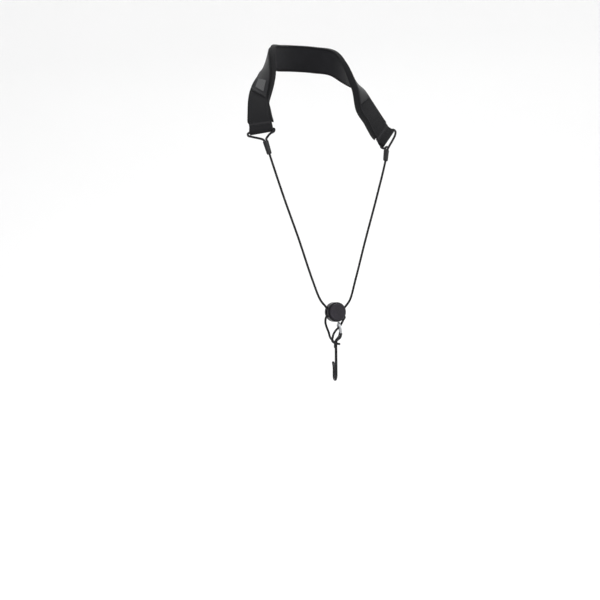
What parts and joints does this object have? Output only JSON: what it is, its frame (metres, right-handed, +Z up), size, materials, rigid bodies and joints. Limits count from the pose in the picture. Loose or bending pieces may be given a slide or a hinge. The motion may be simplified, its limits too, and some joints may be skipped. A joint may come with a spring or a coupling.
{
  "type": "neck strap",
  "caption": "Padded neck strap with a cord loop, push-button cord lock and open wire hook for carrying a call, whistle or wind instrument.",
  "frame": {"origin": "middle of the wearer's neck, at the height where the neck meets the shoulders", "axes": "+Z up, -Y the wearer's front, +X the wearer's left"},
  "size_m": [0.2087, 0.1395, 0.4347],
  "materials": {
    "webbing": "black woven webbing",
    "foam": "closed-cell foam",
    "lining": "soft knitted lining",
    "binding": "folded edge tape",
    "panel": "smooth synthetic leather",
    "thread": "black sewing thread",
    "tag": "plain pale woven tag",
    "cord": "black braided cord",
    "sleeve": "shrunk plastic sleeve",
    "lock_plastic": "moulded black plastic",
    "button_plastic": "textured black plastic",
    "spring_steel": "plain spring steel",
    "wire": "bright nickel plate",
    "coat": "black dipped coat"
  },
  "bodies": {
    "neckband": {"neck_webbing": "webbing", "pad_foam": "foam", "pad_lining": "lining", "upper_binding": "binding", "lower_binding": "binding", "nape_panel": "panel", "left_bar_tack": "thread", "right_bar_tack": "thread", "side_tag": "tag", "left_tunnel_cord": "cord", "right_tunnel_cord": "cord"},
    "pendant": {"left_sleeve": "sleeve", "right_sleeve": "sleeve", "left_strand": "cord", "right_strand": "cord", "loop_cord": "cord"},
    "lock": {"lock_housing": "lock_plastic", "lock_spring": "spring_steel"},
    "button": {"lock_button": "button_plastic"},
    "hook": {"hook_wire": "wire", "hook_coat": "coat", "eye_end_coat": "coat"}
  },
  "joints": [
    {"name": "pendant_swing", "type": "hinge", "parent": "neckband", "child": "pendant", "pos_m": [0, -0.0257, -0.0417], "axis": [-1, 0, 0], "range_deg": [0, 35], "deforming": ["left_tunnel_cord", "right_tunnel_cord"]},
    {"name": "lock_slide", "type": "slide", "parent": "pendant", "child": "lock", "axis": [0, 0.114, 0.9935], "range_m": [0, 0.1], "deforming": ["left_strand", "right_strand", "loop_cord"]},
    {"name": "button_press", "type": "slide", "parent": "lock", "child": "button", "axis": [0, 1, 0], "range_m": [0, 0.0025], "stiffness_N_per_m": 300, "springref_m": -0.004, "deforming": ["lock_spring"]},
    {"name": "hook_swing", "type": "hinge", "parent": "pendant", "child": "hook", "pos_m": [0.0006, -0.062, -0.3075], "axis": [1, 0, 0], "range_deg": [-30, 30]}
  ]
}
